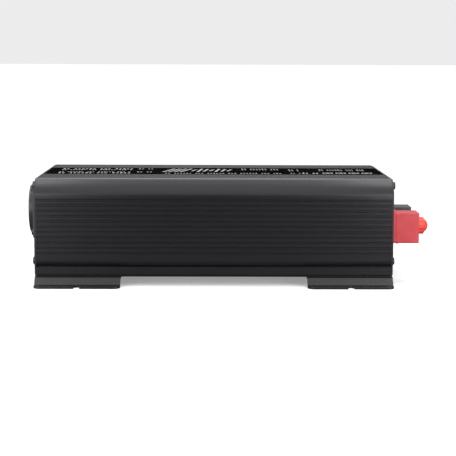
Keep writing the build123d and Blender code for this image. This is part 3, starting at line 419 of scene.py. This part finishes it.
def add_ring(bm, place, middle, outer, inner, count=32, start=0.0):
    """A flat printed ring, or a frame with few sides, in millimetres."""
    centre = place @ Matrix.Translation((middle[0] * MM, middle[1] * MM, 0))
    angles = full_turn(count, start)
    loops = []
    for radius in (outer, inner):
        for depth in (0.0, PRINT):
            loops.append([bm.verts.new(around(centre, radius * MM, a, depth)) for a in angles])
    for first, second in ((0, 1), (1, 3), (3, 2), (2, 0)):
        bridge(bm, loops[first], loops[second])


def add_marks(bm, place, start, end, row, height, pitch):
    """A row of upright bars of two heights, in groups, which stand in for words."""
    for step in range(int((end - start) / pitch)):
        gap = step * 7 % 11 in (3, 8)
        tall = step * 5 % 7 in (0, 3)
        if not gap:
            bar_h = height if tall else height * SHORT_BAR
            middle = (start + (step + 0.5) * pitch, row - (height - bar_h) / 2)
            add_bar(bm, place, middle, pitch * BAR_SHARE, bar_h)


def label_pieces():
    """The label: a thin film with round corners, and a raised print with no words on it."""
    low = plane_at((LABEL_MID.x, LABEL_MID.y, LABEL_LOW.z + LABEL_GLUE), (1, 0, 0), (0, 1, 0))
    size = LABEL_HIGH - LABEL_LOW
    bm = bmesh.new()
    add_prism(bm, rounded_rectangle(size.x, size.y, 2.5 * MM), low, LABEL_FILM)
    film = mesh_object("label_film", bm, smooth=False)
    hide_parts("top_label")
    paint(film, MATERIALS["label_film"])

    bm = bmesh.new()
    top = low @ Matrix.Translation((0, 0, LABEL_FILM))
    for row in LABEL_ROWS:
        add_marks(bm, top, *row)
    for step in range(4):
        add_bar(bm, top, (-43.0 + 5.5 * step, 8.0), 2.4, 40.0, 10.0)
    for step in range(7):
        add_bar(bm, top, (-19.0 + 5.6 * step, 8.0), 2.2, 18.0 + 9.0 * (step * 2 % 3), 4.0)
    for step in range(4):
        middle = (106.5 + 12.2 * step, -24.0)
        add_ring(bm, top, middle, 6.8, 5.0, 4, math.radians(45))
        add_bar(bm, top, middle, 3.2, 3.2)
    paint(mesh_object("label_print", bm, smooth=False), WHITE_INK)


def add_polarity(bm, node, plus):
    """A plus or a minus above a battery terminal."""
    place = plane_at((PLATE_DC, centre_of(node).y, 74.5 * MM), (0, 1, 0), (0, 0, 1))
    stroke, width = 1.5, 7.0
    add_bar(bm, place, (0, 0), width, stroke)
    if plus:
        for side in (-1, 1):
            add_bar(bm, place, (0, side * (stroke + (width - stroke) / 2) / 2), stroke, (width - stroke) / 2)


def add_earth_sign(bm):
    """The earth sign above the earth stud: an upright and three bars."""
    stud = centre_of("earth_stud")
    place = plane_at((PLATE_AC, stud.y, stud.z + 11.5 * MM), (0, -1, 0), (0, 0, 1))
    add_bar(bm, place, (0, 2.6), 0.7, 3.4)
    for step in range(3):
        add_bar(bm, place, (0, 0.5 - 1.5 * step), 6.0 - 2.0 * step, 0.7)


def add_mains_sign(bm, node):
    """One sine wave under a socket."""
    place = plane_at((PLATE_AC, centre_of(node).y, 37.6 * MM), (0, -1, 0), (0, 0, 1))
    points = [(a * 0.25, 1.3 * math.sin(a * math.pi / 8)) for a in range(-16, 17)]
    upper = [(u * MM, (v + 0.35) * MM) for u, v in points]
    lower = [(u * MM, (v - 0.35) * MM) for u, v in reversed(points)]
    add_prism(bm, lower + upper, place, PRINT)


def plate_marks():
    """Plus and minus by the battery terminals; earth, mains and lamp signs on the socket plate."""
    bm = bmesh.new()
    add_polarity(bm, "terminal_base_red", True)
    add_polarity(bm, "terminal_base_black", False)
    add_earth_sign(bm)
    for node in ("mains_socket_1", "mains_socket_2"):
        add_mains_sign(bm, node)
    for node, corners in (("power_lamp", 28), ("fault_lamp", 3)):
        lamp = centre_of(node)
        place = plane_at((PLATE_AC, lamp.y, lamp.z - 6.5 * MM), (0, -1, 0), (0, 0, 1))
        add_ring(bm, place, (0, 0), 1.9, 1.2, corners, math.radians(90))
    paint(mesh_object("plate_print", bm, smooth=False), WHITE_INK)


ROCKER_HINGE_IN = 1.6 * MM      # hinge line behind the plate's face
ROCKER_HINGE_Z = 68.0 * MM
ROCKER_REST = -10               # degrees, the off side pressed
ROCKER_RISE = 1.6               # how far each face of the rocker rises over its length, in millimetres
ROCKER_FACE = 11.0
ROCKER_MIDDLE_OUT = 2.02        # from the hinge line out to the crease between the faces
ROCKER_MARK_UP = 6.0            # from the hinge line to the middle of each mark


def rocker_marks():
    """The line and ring of the on and off sides, on the rocker's two faces."""
    rocker = centre_of("power_rocker")
    hinge = Matrix.Translation((PLATE_AC + ROCKER_HINGE_IN, rocker.y, ROCKER_HINGE_Z))
    hinge = hinge @ Matrix.Rotation(math.radians(ROCKER_REST), 4, "Y")
    tilt = math.atan2(ROCKER_RISE, ROCKER_FACE)
    out = ROCKER_MIDDLE_OUT + ROCKER_RISE * ROCKER_MARK_UP / ROCKER_FACE
    bm = bmesh.new()
    for side in (1, -1):
        up = Vector((-math.sin(tilt) * side, 0, math.cos(tilt)))
        place = hinge @ plane_at((-out * MM, 0, side * ROCKER_MARK_UP * MM), (0, -1, 0), up)
        if side > 0:
            add_bar(bm, place, (0, 0), 1.0, 5.0)
        else:
            add_ring(bm, place, (0, 0), 2.4, 1.5)
    paint(mesh_object("rocker_print", bm, body="rocker", smooth=False), WHITE_INK)


def add_lathe(bm, place, profile, count=32):
    """Turns a profile of radius and height pairs about the place's Z; its ends are closed."""
    loft(bm, [[bm.verts.new(around(place, radius, a, height)) for a in full_turn(count)]
              for radius, height in profile])


def add_thread(bm, place, radius, pitch, length, count=28):
    """A threaded rod along the place's Z: the crest winds round it, its tip tapers."""
    per_turn = 6
    steps = int(length / pitch * per_turn)
    depth = 0.55 * pitch
    loops = []
    for step in range(steps + 1):
        z = length * step / steps
        from_tip = (length - z) / pitch
        limit = radius - depth * max(0.0, 1.0 - from_tip)
        loop = []
        for i, angle in enumerate(full_turn(count)):
            phase = (z / pitch + i / count) % 1.0
            crest = radius - depth * abs(2 * phase - 1)
            loop.append(bm.verts.new(around(place, min(crest, limit), angle, z)))
        loops.append(loop)
    loft(bm, loops)


def hexagon(across_flats):
    """Outline of a hexagon with a flat side up."""
    radius = across_flats / math.sqrt(3)
    return [(radius * math.cos(a), radius * math.sin(a)) for a in full_turn(6)]


BATTERY_HEAD, BATTERY_HEAD_T = 13.0 * MM, 6.0 * MM          # across flats and thickness
BATTERY_THREAD_R, BATTERY_PITCH = 4.0 * MM, 1.25 * MM
EARTH_HEAD, EARTH_HEAD_T = 8.0 * MM, 3.5 * MM
EARTH_THREAD_R, EARTH_PITCH, EARTH_THREAD = 2.5 * MM, 0.8 * MM, 7.0 * MM
EARTH_CORE_R = 2.05 * MM


def stud_pieces():
    """Studs with real threads in place of the plain ones."""
    low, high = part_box("terminal_studs")
    mid_z = (low.z + high.z) / 2
    bm = bmesh.new()
    for node in ("terminal_base_red", "terminal_base_black"):
        place = plane_at((low.x, centre_of(node).y, mid_z), (0, 1, 0), (0, 0, 1))
        add_prism(bm, hexagon(BATTERY_HEAD), place, BATTERY_HEAD_T)
        thread = place @ Matrix.Translation((0, 0, BATTERY_HEAD_T))
        add_thread(bm, thread, BATTERY_THREAD_R, BATTERY_PITCH, high.x - low.x - BATTERY_HEAD_T)
    studs = mesh_object("terminal_threads", bm, smooth=False)
    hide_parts("terminal_studs")
    paint(studs, MATERIALS["stud_brass"])

    low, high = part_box("earth_stud")
    bm = bmesh.new()
    middle = (low + high) / 2
    place = plane_at((high.x, middle.y, middle.z), (0, -1, 0), (0, 0, 1))
    add_prism(bm, hexagon(EARTH_HEAD), place, EARTH_HEAD_T)
    shank = place @ Matrix.Translation((0, 0, EARTH_HEAD_T))
    plain = high.x - low.x - EARTH_HEAD_T - EARTH_THREAD
    add_lathe(bm, shank, [(EARTH_CORE_R, 0.0), (EARTH_CORE_R, plain)])
    add_thread(bm, shank @ Matrix.Translation((0, 0, plain)), EARTH_THREAD_R, EARTH_PITCH, EARTH_THREAD)
    stud = mesh_object("earth_thread", bm, smooth=False)
    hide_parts("earth_stud")
    paint(stud, MATERIALS["stud_brass"])


HUB_R = 13.0 * MM
HUB_WALL = 1.4 * MM
HUB_CAP_R = 0.3 * MM            # small flat cap that closes the turned outline in the middle
HUB_DISC_R = 9.0 * MM
BLADES = 7
BLADE_TIP_R = 27.9 * MM
BLADE_ROOT_R = HUB_R - 0.3 * MM
BLADE_MIDDLE = 6.9 * MM         # from the rotor's back
BLADE_DEPTH = 12.2 * MM         # along the axis
BLADE_CAMBER = 1.6 * MM
BLADE_T = 1.3 * MM              # before it thins towards both edges
BLADE_STEPS = 8                 # faces along each side of a blade


def add_hub(bm, place, deep):
    """Hub cup, open at the back, with a shallow disc set into its front."""
    cup_r = HUB_R - HUB_WALL
    cup_z = deep - 1.6 * MM
    add_lathe(bm, place, [
        (HUB_CAP_R, cup_z), (cup_r, cup_z), (cup_r, 0.0), (HUB_R, 0.0),
        (HUB_R, deep - 1.5 * MM), (HUB_R - 0.5 * MM, deep - 0.5 * MM), (HUB_R - 1.5 * MM, deep - 0.1 * MM),
        (HUB_DISC_R, deep - 0.1 * MM), (HUB_DISC_R - 0.4 * MM, deep - 0.4 * MM),
        (HUB_CAP_R, deep - 0.4 * MM)], 48)


def blade_point(place, share, chord, side, start):
    """A point on a blade: share runs from root to tip, chord along the axis, side picks its face."""
    radius = BLADE_ROOT_R + (BLADE_TIP_R - BLADE_ROOT_R) * share
    pitch = math.radians(42 - 14 * share)
    x = BLADE_DEPTH * chord
    camber = BLADE_CAMBER * (1 - (2 * chord) ** 2)
    half_t = side * BLADE_T * (1.1 - abs(2 * chord) ** 3)
    sideways = x / math.tan(pitch) * 0.85 + camber + half_t
    return around(place, radius, start + sideways / radius + 0.25 * share, BLADE_MIDDLE + x)


def add_blade(bm, place, start):
    """One curved, twisted blade: two sheets of faces joined round their rims."""
    steps = range(BLADE_STEPS)
    points = range(BLADE_STEPS + 1)
    sheets = []
    for side in (-0.5, 0.5):
        sheets.append([[bm.verts.new(blade_point(place, i / BLADE_STEPS, j / BLADE_STEPS - 0.5, side, start))
                        for j in points] for i in points])
    back, front = sheets
    for sheet in sheets:
        for i in steps:
            for j in steps:
                bm.faces.new((sheet[i][j], sheet[i + 1][j], sheet[i + 1][j + 1], sheet[i][j + 1]))
    for rim in (0, BLADE_STEPS):
        for j in steps:
            bm.faces.new((back[rim][j], back[rim][j + 1], front[rim][j + 1], front[rim][j]))
        for i in steps:
            bm.faces.new((back[i][rim], back[i + 1][rim], front[i + 1][rim], front[i][rim]))


def impeller():
    """Fan impeller: a hub cup and curved, twisted blades."""
    low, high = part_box("fan_rotor")
    middle = centre_of("fan_frame")
    place = plane_at((low.x, middle.y, middle.z), (0, 1, 0), (0, 0, 1))
    bm = bmesh.new()
    add_hub(bm, place, high.x - low.x)
    for start in full_turn(BLADES):
        add_blade(bm, place, start)
    rotor = mesh_object("fan_impeller", bm, body="fan")
    sharp_by_angle(rotor, 35)
    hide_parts("fan_rotor")
    paint(rotor, MATERIALS["fan_plastic"])


def sharp_by_angle(obj, degrees):
    """Keeps edges sharper than this angle crisp on a smooth piece."""
    limit = math.radians(degrees)
    bm = bmesh.new()
    bm.from_mesh(obj.data)
    for edge in bm.edges:
        edge.smooth = len(edge.link_faces) == 2 and edge.calc_face_angle() < limit
    bm.to_mesh(obj.data)
    bm.free()


# ---- softer edges on the CAD nodes ----
WELD = 0.002 * MM
FLAT_WITHIN = 0.2               # degrees; flatter joints between faces are dissolved
SHARP_FROM = 32                 # degrees; sharper edges are rounded
SOFT_EDGES = {                  # bevel width in millimetres
    "housing_shell": 0.18, "base_tray": 0.25, "end_plate_ac": 0.3, "end_plate_dc": 0.3,
    "foot_bracket_ac": 0.4, "foot_bracket_dc": 0.4, "power_rocker": 0.3, "usb_shell": 0.08,
    "fan_frame": 0.4, "earth_hardware": 0.25, "terminal_nuts": 0.3,
}


def smoothing_group():
    """Geometry nodes that shade every face smooth."""
    group = bpy.data.node_groups.new("smooth_faces", "GeometryNodeTree")
    group.interface.new_socket("Geometry", in_out="INPUT", socket_type="NodeSocketGeometry")
    group.interface.new_socket("Geometry", in_out="OUTPUT", socket_type="NodeSocketGeometry")
    start = group.nodes.new("NodeGroupInput")
    smooth = group.nodes.new("GeometryNodeSetShadeSmooth")
    end = group.nodes.new("NodeGroupOutput")
    group.links.new(start.outputs[0], smooth.inputs[0])
    group.links.new(smooth.outputs[0], end.inputs[0])
    return group


def soften_edges():
    """Rounds the sharp edges of the pressed, extruded and moulded nodes by a modifier."""
    group = smoothing_group()
    for name, width in SOFT_EDGES.items():
        obj = NODES[name]
        obj.modifiers.new("weld", "WELD").merge_threshold = WELD
        flat = obj.modifiers.new("flat", "DECIMATE")
        flat.decimate_type = "DISSOLVE"
        flat.angle_limit = math.radians(FLAT_WITHIN)
        obj.modifiers.new("smooth", "NODES").node_group = group
        bevel = obj.modifiers.new("bevel", "BEVEL")
        bevel.width = width * MM
        bevel.segments = 2
        bevel.limit_method = "ANGLE"
        bevel.angle_limit = math.radians(SHARP_FROM)
        bevel.use_clamp_overlap = True
        obj.modifiers.new("normals", "WEIGHTED_NORMAL").weight = 60


# ---- stage, light and camera ----
FLOOR_GLOW = 0.29           # lifts the floor to white where the camera sees it
FLOOR_SHADE = 0.15          # how pale the floor looks to the object itself
FLOOR_HALF = 40.0           # metres


def make_floor():
    """White floor with a soft shadow; the object mirrors a much dimmer one, as in a shaded studio."""
    bm = bmesh.new()
    signs = ((-1, -1), (1, -1), (1, 1), (-1, 1))
    bm.faces.new([bm.verts.new((sx * FLOOR_HALF, sy * FLOOR_HALF, 0)) for sx, sy in signs])
    floor = mesh_object("studio_floor", bm, body=None)
    s = Surface("floor_white", (0.80, 0.80, 0.80), 0.9, Specular_IOR_Level=0.0)
    s.shader.inputs["Emission Color"].default_value = (1, 1, 1, 1)
    s.shader.inputs["Emission Strength"].default_value = FLOOR_GLOW
    dim = s.make("ShaderNodeBsdfDiffuse")
    dim.inputs["Color"].default_value = (FLOOR_SHADE, FLOOR_SHADE, FLOOR_SHADE, 1)
    path = s.make("ShaderNodeLightPath")
    choose = s.make("ShaderNodeMixShader", {"Fac": path.outputs["Is Camera Ray"]})
    s.tree.links.new(dim.outputs["BSDF"], choose.inputs[1])
    s.tree.links.new(s.shader.outputs["BSDF"], choose.inputs[2])
    s.tree.links.new(choose.outputs["Shader"], s.tree.nodes["Material Output"].inputs["Surface"])
    paint(floor, s.material)


class Sky:
    """World nodes that give the light tent's strength by direction."""

    def __init__(self):
        world = bpy.data.worlds.new("light_tent")
        bpy.context.scene.world = world
        world.use_nodes = True
        self.tree = world.node_tree
        self.tree.nodes.clear()
        place = self.tree.nodes.new("ShaderNodeTexCoord")
        split = self.tree.nodes.new("ShaderNodeSeparateXYZ")
        self.tree.links.new(place.outputs["Generated"], split.inputs["Vector"])
        self.x, self.y, self.z = split.outputs

    def math(self, operation, first, second=0.0):
        """A math node; each input is a number or a socket."""
        made = self.tree.nodes.new("ShaderNodeMath")
        made.operation = operation
        for socket, value in zip(made.inputs, (first, second)):
            if isinstance(value, float):
                socket.default_value = value
            else:
                self.tree.links.new(value, socket)
        return made.outputs["Value"]

    def step(self, source, low, high, start=0.0, end=1.0):
        """Smooth step of a direction's component from start to end between low and high."""
        made = self.tree.nodes.new("ShaderNodeMapRange")
        made.interpolation_type = "SMOOTHSTEP"
        for label, value in (("From Min", low), ("From Max", high), ("To Min", start), ("To Max", end)):
            made.inputs[label].default_value = value
        self.tree.links.new(source, made.inputs["Value"])
        return made.outputs["Result"]

    def show(self, strength, seen):
        """Lights the scene by strength; the camera itself sees a plain tent, which comes out light grey."""
        tent = self.tree.nodes.new("ShaderNodeBackground")
        self.tree.links.new(strength, tent.inputs["Strength"])
        plain = self.tree.nodes.new("ShaderNodeBackground")
        plain.inputs["Strength"].default_value = seen
        path = self.tree.nodes.new("ShaderNodeLightPath")
        choose = self.tree.nodes.new("ShaderNodeMixShader")
        out = self.tree.nodes.new("ShaderNodeOutputWorld")
        self.tree.links.new(path.outputs["Is Camera Ray"], choose.inputs["Fac"])
        self.tree.links.new(tent.outputs["Background"], choose.inputs[1])
        self.tree.links.new(plain.outputs["Background"], choose.inputs[2])
        self.tree.links.new(choose.outputs["Shader"], out.inputs["Surface"])


SKY_BACK = 2.05             # tent strength low behind the object
SKY_UP = 1.52               # overhead, behind the object
SKY_FRONT = (               # from what height the front of the tent starts to change, and to what strength
    (0.30, 0.42, 1.37),
    (0.62, 0.76, 1.64),
)
SKY_SEEN = 1.05             # strength of the plain tent that the camera sees above the floor's far edge
# Over which span of a direction's X, Y or Z each change takes place:
BEHIND = (-0.1, 0.2)        # from the front of the tent to its back
BACK_RISES = (0.17, 0.36)
TO_OVERHEAD = (0.55, 0.85)
BACK_FADES = (0.05, 0.35)   # to the left and right of the middle


def make_world():
    """Light tent: dark low in front, brighter above and behind, and plain where the camera sees it."""
    sky = Sky()
    behind = sky.step(sky.y, *BEHIND)
    overhead = sky.step(sky.z, *TO_OVERHEAD)
    low = sky.math("MULTIPLY", sky.step(sky.z, *BACK_RISES), sky.step(sky.z, *TO_OVERHEAD, SKY_BACK, 0.0))
    middle = sky.step(sky.math("ABSOLUTE", sky.x), *BACK_FADES, 1.0, 0.0)
    back = sky.math("ADD", sky.math("MULTIPLY", low, middle), sky.math("MULTIPLY", overhead, SKY_UP))
    front = 0.0
    before = 0.0
    for start, end, strength in SKY_FRONT:
        front = sky.math("ADD", front, sky.step(sky.z, start, end, 0.0, strength - before))
        before = strength
    ahead = sky.math("SUBTRACT", 1.0, behind)
    both = sky.math("ADD", sky.math("MULTIPLY", behind, back), sky.math("MULTIPLY", ahead, front))
    sky.show(both, SKY_SEEN)


LIGHT_MIDDLE = -0.018       # the softboxes stand in pairs about this X
# The right one of each pair: middle, aim, width and height in metres, and watts.
SOFTBOXES = {
    "front": ((0.43, -0.55, 0.27), (0.10, -0.10, 0.08), 0.50, 0.16, 1.07),
    "top": ((0.40, 0.02, 0.50), (0.28, 0.00, 0.05), 0.46, 0.44, 1.32),
    "low": ((0.50, -0.60, 0.10), (0.10, -0.10, 0.05), 0.50, 0.16, 2.43),
}


def make_lights():
    """Pairs of softboxes to the left and right, which leave the middle of the object darker."""
    for name, (middle, aim, width, height, watts) in SOFTBOXES.items():
        for side, sign in (("left", -1), ("right", 1)):
            data = bpy.data.lights.new(f"{name}_{side}", "AREA")
            data.shape = "RECTANGLE"
            data.size = width
            data.size_y = height
            data.energy = watts
            lamp = bpy.data.objects.new(f"{name}_{side}", data)
            lamp.location = (LIGHT_MIDDLE + sign * middle[0], middle[1], middle[2])
            target = Vector((LIGHT_MIDDLE + sign * aim[0], aim[1], aim[2]))
            lamp.rotation_euler = (target - lamp.location).to_track_quat("-Z", "Y").to_euler()
            lamp.visible_camera = False
            bpy.context.scene.collection.objects.link(lamp)


CAMERA_PLACE = (-0.01553, -1.4250, 0.2039)     # metres
CAMERA_DOWN = 6.498         # degrees below level
CAMERA_YAW = 0.689          # degrees to the right of +Y
CAMERA_ROLL = 0.201
CAMERA_LENS = 118.42        # mm on a sensor 36 mm wide


def make_camera():
    """Long lens, a little above the object, square on to its ribbed side."""
    pitch, yaw, roll = (math.radians(a) for a in (CAMERA_DOWN, CAMERA_YAW, CAMERA_ROLL))
    ahead = Vector((math.sin(yaw) * math.cos(pitch), math.cos(yaw) * math.cos(pitch), -math.sin(pitch)))
    level = Vector((math.cos(yaw), -math.sin(yaw), 0))
    above = level.cross(ahead)
    right = level * math.cos(roll) + above * math.sin(roll)
    up = above * math.cos(roll) - level * math.sin(roll)
    data = bpy.data.cameras.new("camera")
    data.lens = CAMERA_LENS
    data.sensor_width = 36.0
    data.clip_start = 0.01
    data.clip_end = 100.0
    camera = bpy.data.objects.new("camera", data)
    bpy.context.scene.collection.objects.link(camera)
    camera.matrix_world = plane_at(CAMERA_PLACE, right, up)
    bpy.context.scene.camera = camera
    bpy.context.scene.view_settings.view_transform = "Standard"


paint_nodes()
soften_edges()
label_pieces()
plate_marks()
rocker_marks()
stud_pieces()
impeller()
make_floor()
make_world()
make_lights()
make_camera()
